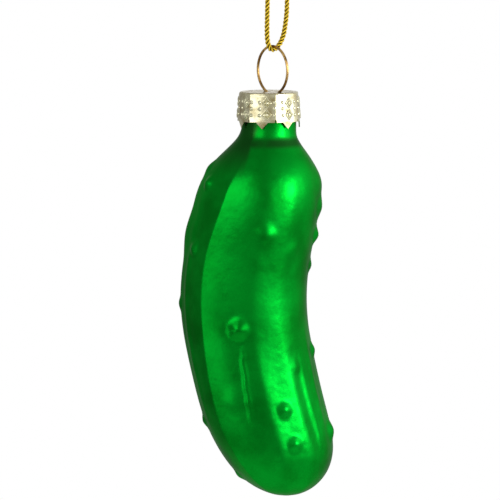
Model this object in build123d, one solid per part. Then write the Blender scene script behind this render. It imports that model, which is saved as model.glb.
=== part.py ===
"""Blown-glass pickle ornament that hangs from a tied cord.

A hollow, bent glass pickle ends at the top in a short open neck. A stamped metal cap sits over the neck. A springy
wire hanger makes a round ring above the cap, and its two legs pass through slots in the cap and spread inside the
neck, which holds the cap on. A cord runs through the ring and is tied in a knot above it.

Millimetres, +Z up. The origin is the hanging point: the top of the cord's loop, just under its knot. The pickle bends
in the XZ plane, and -Y is its front.
"""

import math
import os

from build123d import *

# Cord
CORD = 1.2
LOOP_HEIGHT = 36.0  # from the hanging point down to the ring's wire
CORD_GAP = 0.1  # between the cord and the ring's wire, and between the two strands in the knot
KNOT_HEIGHT = 5.0
WRAP_TILT = 20.0  # of the two turns of the knot, in degrees
WRAP_SQUEEZE = 0.15  # how far the turns press into the strands
TAIL_RISE = 5.0
TAIL_SPREAD = 1.8

# The cord's route on each side of the ring's wire, across and up from the wire's middle, from the ring to the knot.
LEFT_STRAND = [(-2.1, 1.8), (-2.35, 6.0), (-2.1, 12.0), (-1.6, 21.0), (-0.9, 29.0), (-0.65, 33.0), (-0.65, 36.0)]
RIGHT_STRAND = [(2.4, 1.6), (3.3, 5.0), (3.8, 11.0), (3.0, 21.0), (1.5, 29.0), (0.65, 33.0), (0.65, 36.0)]

# Wire hanger
WIRE = 0.65
RING_ACROSS = 12.5
RING_DIP = 0.55  # how far the ring's circle would dip under the cap's top
RING_SHIFT = 1.4  # of the ring from the cap's middle, along the ring's plane
LEG_SPACING = 3.8
LEG_REACH = 8.0  # how deep the legs' ends lie under the cap's top
LEG_GAP = 0.15  # between the legs' ends and the wall of the neck
NECK_BEND = 1.0  # radius of the bend between the ring and a leg
LEG_BEND = 2.0  # radius of the bend where a leg starts to spread
CAP_TURN = -52.4  # the turn of cap, hanger and cord on the neck, from the pickle's plane

# Metal cap
SHEET = 0.3
CAP_GAP = 0.4  # between the neck and the top of the cap's skirt
CAP_FLARE = 0.35  # how far the skirt's foot stands out from its top
CAP_HEIGHT = 7.1
CAP_EDGE = 0.5  # radius of the rounded edge round the top
TIPS = 7
TIP_DROP = 1.6
TIP_WIDTH = 3.2
SLIT_WIDTH = 0.4
SLIT_HEIGHT = 1.1
SLOT_GAP = 0.22  # round the hanger's wire, in the cap's slots
PATTERN_REPEATS = 8  # of the pressed pattern, which is rolled before the tips are cut and doesn't follow them
PATTERN_TURN = 2.7  # of the first repeat, from the ring's plane, in degrees
DIAMOND_WIDTH = 2.2
DIAMOND_HEIGHT = 2.6
DIAMOND_STEP = 2.9  # between the two diamonds of a repeat
DIAMOND_DROP = 2.4  # from the cap's top to the middle of the upper diamond
DOT = 0.8
DOT_TOP = 0.35
DOT_STEP = 1.6
DOT_TURN = 14.5  # from the middle of a repeat to its columns of dots, in degrees
RELIEF = 0.22  # how far the pressed pattern stands out

# Glass pickle
NECK_ACROSS = 13.6
WALL = 1.0
SEAT_GAP = 0.1  # between the neck's rim and the cap
NECK_LENGTH = 8.4
BODY_LENGTH = 92.2  # from the foot of the neck to the tip
SHOULDER = 15.4
TOE = 19.4
TOE_FULLNESS = 2.3  # 2 closes the toe as an ellipse, more makes it blunter
BODY_WIDTH = 31.8
BODY_DEPTH = 30.4
CHEST_BEND = -3.0  # sideways places of the pickle's middle line
BELLY_BEND = -6.4
HIP_BEND = -2.3
BALL_BEND = 1.7
TIP_BEND = 4.4
RIDGE_TURNS = [-42, 10, 50, 97, 148, 203, 262]  # from the front towards +X, in degrees
FACET_FLAT = 0.5  # 0 makes the section round, 1 makes the facets between the ridges flat
RIM_ROUND = 0.4
WART_HEIGHT = 0.75

# Warts: share of the body's length from the neck's foot, turn from the front towards +X, width at the foot.
SIDE_WARTS = [
    (0.13, -88, 3.4), (0.48, -90, 3.2), (0.787, -91, 4.0), (0.955, -80, 3.0),
    (0.21, 90, 3.8), (0.285, 89, 3.2), (0.371, 91, 3.0), (0.607, 90, 3.6), (0.822, 87, 4.2),
]
FRONT_WARTS = [
    (0.157, -57, 3.0), (0.328, -57, 3.2), (0.279, 19, 3.6), (0.322, 43, 3.2), (0.493, 36, 3.4),
    (0.55, -6, 3.8), (0.629, 46, 3.4), (0.726, -28, 3.2), (0.77, 18, 3.8), (0.859, 24, 3.8),
]

# Heights that follow from the sizes above
WIRE_R = WIRE / 2
CORD_R = CORD / 2
RING_R = RING_ACROSS / 2 - WIRE_R
RING_TOP_Z = -LOOP_HEIGHT
RING_RISE = RING_R - RING_DIP
CAP_TOP_Z = RING_TOP_Z - RING_R - RING_RISE
RIM_DROP = SHEET + SEAT_GAP
NECK_FOOT = RIM_DROP + NECK_LENGTH
TOE_START = NECK_FOOT + BODY_LENGTH - TOE
TIP_DEPTH = NECK_FOOT + BODY_LENGTH

HANGER_PLACE = Location((0, 0, CAP_TOP_Z), (0, 0, CAP_TURN))
CAP_PLACE = HANGER_PLACE * Pos(-RING_SHIFT, 0, 0)
GLASS_PLACE = Pos(*CAP_PLACE.position)

# The pickle's middle line: share of the body's length, sideways place.
SPINE = [
    (0.0, 0.0), (0.2, CHEST_BEND), (0.47, BELLY_BEND), (0.74, HIP_BEND), (0.88, BALL_BEND), (1.0, TIP_BEND),
]


def eased_through(stations, at):
    """A smooth curve through stations of (place, value), each slope taken from the neighbouring stations."""
    places = [place for place, _ in stations]
    values = [value for _, value in stations]
    last = len(stations) - 1

    def slope(k):
        before = max(k - 1, 0)
        after = min(k + 1, last)
        return (values[after] - values[before]) / (places[after] - places[before])

    i = max(k for k in range(last) if k == 0 or places[k] <= at)
    span = places[i + 1] - places[i]
    t = (at - places[i]) / span
    from_values = (1 + 2 * t) * (1 - t) ** 2 * values[i] + t * t * (3 - 2 * t) * values[i + 1]
    from_slopes = t * (1 - t) ** 2 * slope(i) + t * t * (t - 1) * slope(i + 1)
    return from_values + span * from_slopes


def eased_step(t):
    """0 before t is 0, 1 after t is 1, and a smooth rise between."""
    t = min(max(t, 0.0), 1.0)
    return t * t * (3 - 2 * t)


def facet_at(turn):
    """The ridge before a turn, and the angle from it to the next ridge."""
    spans = [(after - before) % 360 for before, after in zip(RIDGE_TURNS, RIDGE_TURNS[1:] + RIDGE_TURNS[:1])]
    return next((start, span) for start, span in zip(RIDGE_TURNS, spans) if (turn - start) % 360 < span)


def skin_point(drop, turn, inset=0.0):
    """A point of the pickle's skin, at a drop under the cap's top and a turn in degrees from the front towards +X.

    inset moves the point in from the skin, for the inner face of the wall.
    """
    shoulder = eased_step((drop - NECK_FOOT) / SHOULDER)
    toe = max(0.0, (drop - TOE_START) / (TOE - inset))
    closing = max(0.0, 1 - toe**TOE_FULLNESS) ** (1 / TOE_FULLNESS)
    half_neck = NECK_ACROSS / 2 - inset
    half_width = (half_neck + (BODY_WIDTH / 2 - inset - half_neck) * shoulder) * closing
    half_depth = (half_neck + (BODY_DEPTH / 2 - inset - half_neck) * shoulder) * closing
    start, span = facet_at(turn)
    flattening = FACET_FLAT * (1 - math.cos(math.radians(span / 2)))
    across = 2 * ((turn - start) % 360) / span - 1
    crown = 1 - flattening * shoulder * closing * (1 - across**2)
    middle = eased_through(SPINE, (drop - NECK_FOOT) / BODY_LENGTH)
    angle = math.radians(turn)
    return Vector(middle + half_width * crown * math.sin(angle), -half_depth * crown * math.cos(angle), -drop)


def skin_normal(drop, turn):
    """The outward direction of the skin at a place."""
    step = 0.05
    along = skin_point(drop + step, turn) - skin_point(drop - step, turn)
    around = skin_point(drop, turn + step) - skin_point(drop, turn - step)
    return along.cross(around).normalized()


def section_drops(inset):
    """The heights of the sections that the pickle is lofted through, close together where it curves most."""
    shoulder = [NECK_FOOT + SHOULDER * k / 5 for k in range(6)]
    straight = TOE_START - NECK_FOOT - SHOULDER
    body = [NECK_FOOT + SHOULDER + straight * k / 6 for k in range(1, 7)]
    toe = [TOE_START + (TOE - inset) * math.sin(math.radians(15 * k)) for k in range(1, 6)]
    return shoulder + body + toe


def ridged_section(drop, inset):
    """One closed section of the pickle: an arc for each facet, meeting at the ridges."""
    arcs = []
    for ridge in RIDGE_TURNS:
        start, span = facet_at(ridge)
        turns = [start, start + span / 2, start + span]
        arcs.append(ThreePointArc(*[skin_point(drop, turn, inset) for turn in turns]))
    return Wire(arcs)


def pickle_form(inset):
    """The pickle under its neck, as a solid whose skin lies inset from the outer skin."""
    tip = Vertex(*skin_point(TIP_DEPTH - inset, 0, inset))
    sections = [ridged_section(drop, inset) for drop in section_drops(inset)]
    return Solid.make_loft([*sections, tip])


def wart(share, turn, width):
    """A round wart: the cap of a ball that is sunk into the skin."""
    drop = NECK_FOOT + share * BODY_LENGTH
    ball = ((width / 2) ** 2 + WART_HEIGHT**2) / (2 * WART_HEIGHT)
    centre = skin_point(drop, turn) + skin_normal(drop, turn) * (WART_HEIGHT - ball)
    return Pos(*centre) * Sphere(ball)


def glass_pickle():
    """The hollow glass: one wall, open at the neck's rim."""
    neck_middle = -(RIM_DROP + NECK_FOOT) / 2
    neck = Pos(0, 0, neck_middle) * Cylinder(NECK_ACROSS / 2, NECK_LENGTH)
    bore = Pos(0, 0, neck_middle) * Cylinder(NECK_ACROSS / 2 - WALL, NECK_LENGTH)
    back_warts = [(share, 180 - turn, width) for share, turn, width in FRONT_WARTS]
    warts = [wart(*place) for place in SIDE_WARTS + FRONT_WARTS + back_warts]
    outside = Part(pickle_form(0.0).wrapped) + warts + neck
    glass = outside - Part(pickle_form(WALL).wrapped) - bore
    rim = glass.faces().sort_by(Axis.Z)[-1]
    return GLASS_PLACE * fillet(rim.edges(), RIM_ROUND)


def cap_radius(drop):
    """The outer radius of the cap's flared skirt at a drop under its top."""
    return NECK_ACROSS / 2 + CAP_GAP + SHEET + CAP_FLARE * drop / CAP_HEIGHT


def cap_cup():
    """The plain drawn cup, as deep as the cap's tips."""
    foot = CAP_HEIGHT + TIP_DROP
    outline = Polyline((0, 0), (cap_radius(0), 0), (cap_radius(foot), -foot), (0, -foot), close=True)
    cup = revolve(Plane.XZ * make_face(outline), Axis.Z)
    cup = fillet(cup.edges().group_by(Axis.Z)[-1], CAP_EDGE)
    return offset(cup, -SHEET, openings=cup.faces().sort_by(Axis.Z)[0])


def gap_between_tips(turn):
    """What is cut from the skirt between two tips, with the slit above its middle."""
    radius = cap_radius(CAP_HEIGHT)
    half_panel = radius * math.sin(math.pi / TIPS)
    half_gap = half_panel - TIP_WIDTH / 2
    below = -CAP_HEIGHT - TIP_DROP
    outline = Polyline(
        (-half_panel, below), (-half_gap, -CAP_HEIGHT), (half_gap, -CAP_HEIGHT), (half_panel, below), close=True
    )
    slit = Pos(0, -CAP_HEIGHT) * SlotOverall(2 * SLIT_HEIGHT, SLIT_WIDTH, 90)
    cutter = extrude(Plane.XZ * (make_face(outline) + slit), -2 * radius)
    return Rot(0, 0, turn) * cutter


def skirt_plane(turn, drop, sink):
    """A plane on the skirt, facing out, with its X axis round the cap and its Y axis up."""
    slope = math.atan2(CAP_FLARE, CAP_HEIGHT)
    angle = math.radians(turn)
    out = Vector(math.cos(angle) * math.cos(slope), math.sin(angle) * math.cos(slope), math.sin(slope))
    radius = cap_radius(drop) - sink
    foot = Vector(radius * math.cos(angle), radius * math.sin(angle), -drop)
    return Plane(foot, x_dir=(-math.sin(angle), math.cos(angle), 0), z_dir=out)


def diamond(turn, drop):
    """A raised diamond with sloping sides."""
    sink = SHEET / 2
    half_width = DIAMOND_WIDTH / 2
    half_height = DIAMOND_HEIGHT / 2
    outline = Polyline((half_width, 0), (0, half_height), (-half_width, 0), (0, -half_height), close=True)
    return extrude(skirt_plane(turn, drop, sink) * make_face(outline), RELIEF + sink, taper=40)


def dot(turn, drop):
    """A raised round dot with a sloping side."""
    sink = SHEET / 2
    return skirt_plane(turn, drop, sink) * Pos(0, 0, (RELIEF + sink) / 2) * Cone(DOT / 2, DOT_TOP / 2, RELIEF + sink)


def pressed_pattern():
    """Pairs of diamonds round the skirt, with a column of dots on each side of each pair."""
    found = []
    for k in range(PATTERN_REPEATS):
        turn = PATTERN_TURN + k * 360 / PATTERN_REPEATS
        found += [diamond(turn, DIAMOND_DROP + DIAMOND_STEP * row) for row in range(2)]
        for side in (-1, 1):
            middle = DIAMOND_DROP + DIAMOND_STEP / 2
            found += [dot(turn + side * DOT_TURN, middle + DOT_STEP * row) for row in (-1, 0, 1)]
    return found


def hanger_slot(side):
    """One slot in the cap's top, long enough for the slanting wire."""
    inner = LEG_SPACING / 2 - WIRE_R - SLOT_GAP
    underside = RING_R + WIRE_R
    outer = math.sqrt(underside**2 - RING_RISE**2) + SLOT_GAP
    slot = SlotOverall(outer - inner, WIRE + 2 * SLOT_GAP)
    return extrude(Pos(RING_SHIFT + side * (inner + outer) / 2, 0, -2 * SHEET) * slot, 4 * SHEET)


def metal_cap():
    """The stamped cap: a thin cup with a crown of tips round its foot and a pattern pressed into its skirt."""
    cutters = [gap_between_tips(k * 360 / TIPS + 90) for k in range(TIPS)]
    cap = cap_cup() + pressed_pattern()
    return CAP_PLACE * (cap - cutters - [hanger_slot(side) for side in (-1, 1)])


def hanger_side(side):
    """The ring's meeting point with its bend, and the bend and leg below it, drawn on the +X side of the ring's plane.

    The bend touches the ring from outside and turns into the leg, which goes straight from its own bend to its foot at
    the neck's wall. side is 1 for the leg that belongs there and -1 for the one that gets mirrored.
    """
    half = LEG_SPACING / 2
    apart = RING_R + NECK_BEND
    rise = math.sqrt(apart**2 - (half + NECK_BEND) ** 2)
    bend_z = RING_RISE - rise
    meet_turn = math.degrees(math.atan2(rise, -half - NECK_BEND))
    meet = ((half + NECK_BEND) * RING_R / apart, RING_RISE - rise * RING_R / apart)
    bend = CenterArc((half + NECK_BEND, bend_z), NECK_BEND, meet_turn, 180 - meet_turn)

    foot = Vector(NECK_ACROSS / 2 - WALL - LEG_GAP - WIRE_R - side * RING_SHIFT, -LEG_REACH)
    hub = Vector(half + LEG_BEND, bend_z)
    away = foot - hub
    touch_turn = math.atan2(away.Y, away.X) - math.acos(LEG_BEND / away.length)
    knee = hub + Vector(math.cos(touch_turn), math.sin(touch_turn)) * LEG_BEND
    splay = CenterArc(hub, LEG_BEND, 180, math.degrees(touch_turn) % 360 - 180)
    return meet, [bend, splay, Line(knee, foot)]


def wire_hanger():
    """One wire: the ring, two bends through the cap, and two legs that spread in the neck."""
    meet, right_leg = hanger_side(1)
    _, left_leg = hanger_side(-1)
    ring = ThreePointArc(meet, (0, RING_RISE + RING_R), (-meet[0], meet[1]))
    edges = [edge for line in (*right_leg, ring) for edge in line.edges()]
    edges += [mirror(line, Plane.YZ).edge() for line in left_leg]
    path = Plane.XZ * Wire(edges)
    return HANGER_PLACE * swept_round(path, WIRE_R)


def swept_round(path, radius):
    """A round rod along a path."""
    return sweep(Plane(path @ 0, z_dir=path % 0) * Circle(radius), path)


def ring_tangent_point(target, radius):
    """Where a line from a point above touches the underside of a circle about the ring's wire."""
    side = math.copysign(1, target[0])
    turn = math.atan2(target[1], target[0]) - side * math.acos(radius / math.hypot(*target))
    return radius * math.cos(turn), radius * math.sin(turn)


def cord_arc_radii(points):
    """For each corner of a route, the radius that its two runs leave room for."""
    radii = []
    for before, corner, after in zip(points, points[1:], points[2:]):
        come = Vector(*corner) - Vector(*before)
        leave = Vector(*after) - Vector(*corner)
        half_turn = math.radians(come.get_angle(leave)) / 2
        radii.append(0.45 * min(come.length, leave.length) / math.tan(half_turn))
    print("cord radii", [round(radius, 1) for radius in radii])
    return radii


def hanging_cord():
    """The cord from the knot down through the ring and up to the knot again, as a plain tube."""
    bend = WIRE_R + CORD_GAP + CORD_R
    routes = [[ring_tangent_point(strand[0], bend), *strand] for strand in (LEFT_STRAND, RIGHT_STRAND)]
    strands = [FilletPolyline(*route, radius=cord_arc_radii(route)) for route in routes]
    under_wire = ThreePointArc(routes[0][0], (0, -bend), routes[1][0])
    path = Plane.YZ * Wire([edge for line in (strands[0], under_wire, strands[1]) for edge in line.edges()])
    tube = swept_round(path, CORD_R)
    print("cord length", round(path.length, 2), "volume", round(tube.volume, 2))
    print("section times length", round(math.pi * CORD_R**2 * path.length, 2))
    return Location((0, 0, RING_TOP_Z), (0, 0, CAP_TURN)) * tube


def cord_knot():
    """The knot over the hanging point: the cord's two ends, with two turns round them and short loose tails."""
    beside = CORD_R + CORD_GAP / 2
    ends = []
    for side in (-1, 1):
        tip = (side * (beside + TAIL_SPREAD), KNOT_HEIGHT + TAIL_RISE)
        route = [(side * beside, 0), (side * beside, KNOT_HEIGHT), tip]
        end = FilletPolyline(*route, radius=cord_arc_radii(route))
        ends.append(swept_round(Plane.YZ * end, CORD_R))
    reach = CORD - WRAP_SQUEEZE
    wraps = []
    for side in (-1, 1):
        loop = SlotOverall(2 * (beside + reach), 2 * reach, 90).wire()
        height = KNOT_HEIGHT / 2 + side * CORD_R
        wraps.append(Pos(0, 0, height) * Rot(side * WRAP_TILT, 0, 0) * swept_round(loop, CORD_R))
    return Location((0, 0, 0), (0, 0, CAP_TURN)) * (ends[0] + ends[1] + wraps)


parts = {
    "glass_pickle": glass_pickle,
    "metal_cap": metal_cap,
    "wire_hanger": wire_hanger,
    "hanging_cord": hanging_cord,
    "cord_knot": cord_knot,
}

os.makedirs("parts", exist_ok=True)
for name, make in parts.items():
    export_step(make(), f"parts/{name}.step")
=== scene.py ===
"""A blown-glass pickle ornament on a gold cord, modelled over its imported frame.

The ribbed and warty glass, the stamped cap and the twisted cord are made here. The wire hanger keeps its
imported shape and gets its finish. Metres, +Z up, with the hanging point at the origin and the pickle's front
towards -Y.
"""

import math

import bmesh
import bpy
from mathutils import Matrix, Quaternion, Vector
from mathutils.kdtree import KDTree


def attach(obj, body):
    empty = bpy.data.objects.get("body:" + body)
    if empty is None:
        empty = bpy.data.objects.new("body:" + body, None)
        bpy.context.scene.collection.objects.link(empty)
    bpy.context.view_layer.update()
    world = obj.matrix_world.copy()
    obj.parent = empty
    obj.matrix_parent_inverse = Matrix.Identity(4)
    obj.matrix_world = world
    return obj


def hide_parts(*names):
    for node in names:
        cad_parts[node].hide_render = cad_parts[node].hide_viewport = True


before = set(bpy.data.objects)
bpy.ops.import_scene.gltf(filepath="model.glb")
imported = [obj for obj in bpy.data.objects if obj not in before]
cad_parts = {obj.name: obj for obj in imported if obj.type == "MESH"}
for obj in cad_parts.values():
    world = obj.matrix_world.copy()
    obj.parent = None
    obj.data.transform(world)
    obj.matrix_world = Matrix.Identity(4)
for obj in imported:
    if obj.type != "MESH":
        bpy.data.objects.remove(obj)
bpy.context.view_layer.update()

bl_info = {
    "name": "Pickle ornament",
    "version": (1, 0, 0),
    "blender": (4, 5, 0),
    "location": "3D View > Sidebar > Ornament",
    "description": "Models a hanging glass pickle with its cap and cord",
    "category": "Object",
}

MM = 0.001


def length(name, description, millimetres):
    """A length that a user can change, given in millimetres."""
    return bpy.props.FloatProperty(
        name=name, description=description, default=millimetres * MM, precision=5, unit="LENGTH",
        subtype="DISTANCE",
    )


def turning(name, description, degrees):
    """An angle that a user can change, given in degrees."""
    return bpy.props.FloatProperty(
        name=name, description=description, default=math.radians(degrees), subtype="ANGLE"
    )


def amount(name, description, default, low=0.0, high=100.0):
    """A plain number that a user can change."""
    return bpy.props.FloatProperty(name=name, description=description, default=default, min=low, max=high)


def colour(name, description, red, green, blue):
    """A linear colour that a user can change."""
    return bpy.props.FloatVectorProperty(
        name=name, description=description, default=(red, green, blue), size=3, min=0.0, max=1.0,
        subtype="COLOR",
    )


class GlassSettings(bpy.types.PropertyGroup):
    """Sizes and colours of the glass pickle."""

    rim_drop: length("Rim drop", "From the cap's top to the rim", 0.4)
    neck_across: length("Neck across", "Diameter of the neck", 13.6)
    neck_length: length("Neck length", "From the rim to the foot of the neck", 8.4)
    body_length: length("Body length", "From the foot of the neck to the tip", 92.2)
    body_width: length("Body width", "Width across the pickle's front", 32.0)
    body_depth: length("Body depth", "Depth from front to back", 30.4)
    shoulder: length("Shoulder", "Length of the swelling", 18.0)
    toe: length("Toe", "Length of the closing end", 19.4)
    toe_fullness: amount("Toe fullness", "Two is an ellipse, more is blunter", 2.2, 1.5, 4.0)
    toe_depth_fullness: amount("Toe fullness in depth", "The same seen from the side", 3.0, 1.5, 4.0)
    wall: length("Wall", "Thickness of the glass", 1.0)
    facet_flat: amount("Facet flatness", "Nought is round, one is flat", 0.62, high=1.0)
    ridge_crease: amount("Ridge crease", "Sharpness of the ridges", 0.38, high=1.0)
    deep_green: colour("Deep green", "Lacquer where it lies thick", 0.0008, 0.23, 0.012)
    bright_green: colour("Bright green", "Lacquer over the silvered glass", 0.001, 0.345, 0.021)
    # Painted shade: the dark colour painted in a ring in the neck's corner and in a band on its left.
    pooled_green: colour("Pooled green", "Lacquer that lies thickest at the neck", 0.012, 0.06, 0.012)


class CapSettings(bpy.types.PropertyGroup):
    """Sizes and colours of the stamped cap."""

    top: length("Top", "Height of the cap's top", -47.3)
    turn: turning("Turn", "Turn of the cap on the neck", -52.4)
    ring_shift: length("Ring shift", "From the cap's middle to the ring's", 1.4)
    top_radius: length("Top radius", "Outer radius of the skirt at the top", 7.44)
    flare: length("Flare", "How far the skirt's foot stands out", 0.46)
    height: length("Height", "From the top to the foot of the skirt", 7.1)
    edge: length("Edge", "Radius of the rounded edge round the top", 0.5)
    sheet: length("Sheet", "Thickness of the metal", 0.3)
    tip_drop: length("Tip drop", "Length of the tips", 1.6)
    tip_width: length("Tip width", "Width of a tip at the skirt's foot", 3.2)
    slit_width: length("Slit width", "Width of the slits between the panels", 0.4)
    slit_height: length("Slit height", "Height of a slit above the skirt's foot", 0.55)
    panel_dip: length("Panel dip", "How far a panel's middle lies inside", 0.26)
    relief: length("Relief", "How far the pressed pattern stands out", 0.27)
    metal: colour("Metal", "Bare rolled metal", 0.80, 0.77, 0.52)
    # Also the colour of the painted reflection, dark and spotted, on the cap's flat top.
    tarnish: colour("Tarnish", "Metal in the hollows of the pattern", 0.33, 0.25, 0.09)


class HangerSettings(bpy.types.PropertyGroup):
    """Colours of the wire hanger."""

    wire: colour("Wire", "Bright brassed wire", 0.76, 0.48, 0.16)
    dull: colour("Dull wire", "Tarnished wire", 0.22, 0.11, 0.025)


class CordSettings(bpy.types.PropertyGroup):
    """Sizes and colours of the twisted cord."""

    across: length("Across", "Diameter of the cord", 1.32)
    pitch: length("Pitch", "Length of one full twist", 3.0)
    loop_height: length("Loop height", "From the hanging point down to the ring's wire", 36.0)
    gold: colour("Gold", "Metallised thread", 1.0, 0.70, 0.05)
    # Painted shade: the dark colour painted on the sides of the plies that face each other.
    gap: colour("Gap", "Thread in the grooves", 0.035, 0.014, 0.001)


class StageSettings(bpy.types.PropertyGroup):
    """Places and strengths of the camera, floor and lamps."""

    aim: bpy.props.FloatVectorProperty(
        name="Aim", description="Point at the middle of the picture",
        default=(-5.6 * MM, 1.1 * MM, -86.8 * MM), size=3, unit="LENGTH", subtype="TRANSLATION",
    )
    view_width: length("View width", "Width of the picture at the object", 124.4)
    distance: length("Camera distance", "From the camera to the aim", 1000.0)
    camera_rise: turning("Camera rise", "Angle of the camera above the level", 6.2)
    floor_height: length("Floor height", "Height of the floor", -600.0)
    key_radiance: amount("Key", "Radiance of the small main lamp", 9.0)
    glow_radiance: amount("Glow", "Radiance of the wide panel round it", 1.4)
    fill_radiance: amount("Fill", "Radiance of the panel on the left", 1.75)
    card_radiance: amount("Card", "Radiance of the low card on the left", 1.5)
    room: amount("Room", "Radiance of the room", 0.42)


SETTINGS = {
    "ornament_glass": GlassSettings,
    "ornament_cap": CapSettings,
    "ornament_hanger": HangerSettings,
    "ornament_cord": CordSettings,
    "ornament_stage": StageSettings,
}


# Shader maths

def math_operator(operation, swapped=False):
    """An operator of Link, which adds a Math node with its two sides as inputs."""
    def result(self, other):
        made = self.tree.nodes.new("ShaderNodeMath")
        made.operation = operation
        for socket, value in zip(made.inputs, (other, self) if swapped else (self, other)):
            join(self.tree, socket, value)
        return Link(self.tree, made.outputs[0])

    return result


class Link:
    """A node's output that takes part in arithmetic."""

    def __init__(self, tree, socket):
        self.tree = tree
        self.socket = socket

    __add__ = math_operator("ADD")
    __radd__ = math_operator("ADD", swapped=True)
    __sub__ = math_operator("SUBTRACT")
    __rsub__ = math_operator("SUBTRACT", swapped=True)
    __mul__ = math_operator("MULTIPLY")
    __rmul__ = math_operator("MULTIPLY", swapped=True)


def join(tree, socket, value):
    """Put a link or a value into a node's input."""
    if isinstance(value, Link):
        tree.links.new(value.socket, socket)
    elif socket.type == "RGBA":
        socket.default_value = (*value, 1.0)
    else:
        socket.default_value = value


class Finish:
    """The nodes of one material or world."""

    def __init__(self, tree):
        self.tree = tree
        tree.nodes.clear()

    def node(self, kind, settings=None, sockets=None, output=0):
        """Add a node, fill it and return one of its outputs."""
        made = self.tree.nodes.new(kind)
        for key, value in (settings or {}).items():
            setattr(made, key, value)
        for key, value in (sockets or {}).items():
            join(self.tree, made.inputs[key], value)
        return Link(self.tree, made.outputs[output]) if made.outputs else None

    def place(self):
        """The place on the piece, in metres of the shared frame."""
        return self.node("ShaderNodeTexCoord", output="Object")

    def part(self, vector, axis):
        """One of a vector's three numbers."""
        return self.node("ShaderNodeSeparateXYZ", sockets={"Vector": vector}, output=axis)

    def reckon(self, operation, *values):
        """The result of a Math node."""
        return self.node("ShaderNodeMath", {"operation": operation}, dict(enumerate(values)))

    def noise(self, vector, scale, detail):
        """Soft noise from nought to one."""
        return self.node("ShaderNodeTexNoise", sockets={"Vector": vector, "Scale": scale, "Detail": detail})

    def between(self, value, low, high):
        """A smooth step that is nought at low and one at high."""
        return self.node(
            "ShaderNodeMapRange", {"interpolation_type": "SMOOTHSTEP"},
            {"Value": value, "From Min": low, "From Max": high},
        )

    def past(self, value, border, softness):
        """A smooth step from nought before a border to one past it."""
        return self.between(value, border - softness, border + softness)

    def stepped(self, value, base, steps):
        """A base plus the height of each step that the value has passed."""
        for height, start, end in steps:
            base = base + height * self.between(value, start, end)
        return base

    def blend(self, factor, first, second):
        """A mix of two colours."""
        return self.node("ShaderNodeMix", {"data_type": "RGBA"}, {0: factor, 6: first, 7: second}, 2)

    def bump(self, height, distance):
        """A surface normal from a height."""
        return self.node("ShaderNodeBump", sockets={"Height": height, "Distance": distance, "Strength": 1.0})

    def surface(self, **sockets):
        """The shader of a surface, with inputs named in small letters."""
        named = {key.replace("_", " ").title(): value for key, value in sockets.items()}
        self.show(self.node("ShaderNodeBsdfPrincipled", sockets=named))

    def show(self, shader, output="ShaderNodeOutputMaterial"):
        """Send a shader to the output."""
        self.node(output, sockets={"Surface": shader})


def new_finish(name):
    """An empty material and the helper that fills it."""
    material = bpy.data.materials.new(name)
    material.use_nodes = True
    return material, Finish(material.node_tree)


# Painted shade on the neck: the height of the corner where a dark ring is painted and how far from there the
# ring is full and ends, then the height at which the painted shade on the left starts, and the sideways place
# at the corner, the slant and the softness of its border.
NECK_CORNER = -59.6 * MM
POOL_FULL = 0.3 * MM
POOL_END = 1.8 * MM
THICK_FOOT = -69 * MM
THICK_SIDE = -5.0 * MM
THICK_SLANT = 0.32
THICK_SOFTNESS = 0.6 * MM

# Dents in the lacquer: the heights at which they start and are full, then the sideways place at the hanging
# point's height, the slant and the softness of the line to whose right they lie.
DENTS_TOP = -107 * MM
DENTS_FULL = -119.5 * MM
DENTS_LINE = -33.0 * MM
DENTS_SLANT = 0.247
DENTS_SOFTNESS = 1.5 * MM

# How far under the cap's top the painted reflection, a dark spotted mottle, starts and is full.
SPOTS_START = 0.2 * MM
SPOTS_FULL = 0.05 * MM

# Length of cord that one step of its UV map covers, and filaments along that length and round a ply.
UV_LENGTH = 10 * MM
FILAMENTS_ALONG = 40.0
FILAMENTS_AROUND = 6.0


def thick_lacquer(finish, side, rise, cloud):
    """One where shade is painted: a dark ring in the neck's corner and a darker band on its left."""
    from_corner = finish.reckon("ABSOLUTE", rise - NECK_CORNER)
    pooled = finish.between(cloud, 0.3, 0.55) * (1.0 - finish.between(from_corner, POOL_FULL, POOL_END))
    left = 1.0 - finish.past(side - THICK_SLANT * (rise - NECK_CORNER), THICK_SIDE, THICK_SOFTNESS)
    return finish.reckon("MAXIMUM", pooled, left * finish.between(rise, THICK_FOOT, NECK_CORNER))


def lacquered_glass(settings):
    """Satin green lacquer over silvered glass, with shade painted round the neck."""
    material, finish = new_finish("lacquered_glass")
    place = finish.place()
    side = finish.part(place, "X")
    rise = finish.part(place, "Z")
    cloud = finish.noise(place, scale=90.0, detail=4.0)
    speck = finish.noise(place, scale=1100.0, detail=3.0)
    ripple = finish.noise(place, scale=170.0, detail=2.0)
    dents = finish.noise(place, scale=330.0, detail=1.0) * finish.between(rise, DENTS_TOP, DENTS_FULL)
    dents = dents * finish.past(side + DENTS_SLANT * rise, DENTS_LINE, DENTS_SOFTNESS)
    lacquer = finish.blend(finish.between(cloud, 0.32, 0.62), settings.deep_green, settings.bright_green)
    thick = thick_lacquer(finish, side, rise, cloud)
    finish.surface(
        # Painted shade: the lacquer is darkened towards the shade colour in the neck's corner and on its
        # left.
        base_color=finish.blend(thick * 0.8, lacquer, settings.pooled_green),
        metallic=1.0,
        roughness=0.24 + 0.10 * cloud + 0.05 * speck,
        specular_tint=(0.55, 0.65, 0.55),
        normal=finish.bump(ripple + 0.14 * speck + 0.8 * dents, 0.14 * MM),
    )
    return material


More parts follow.
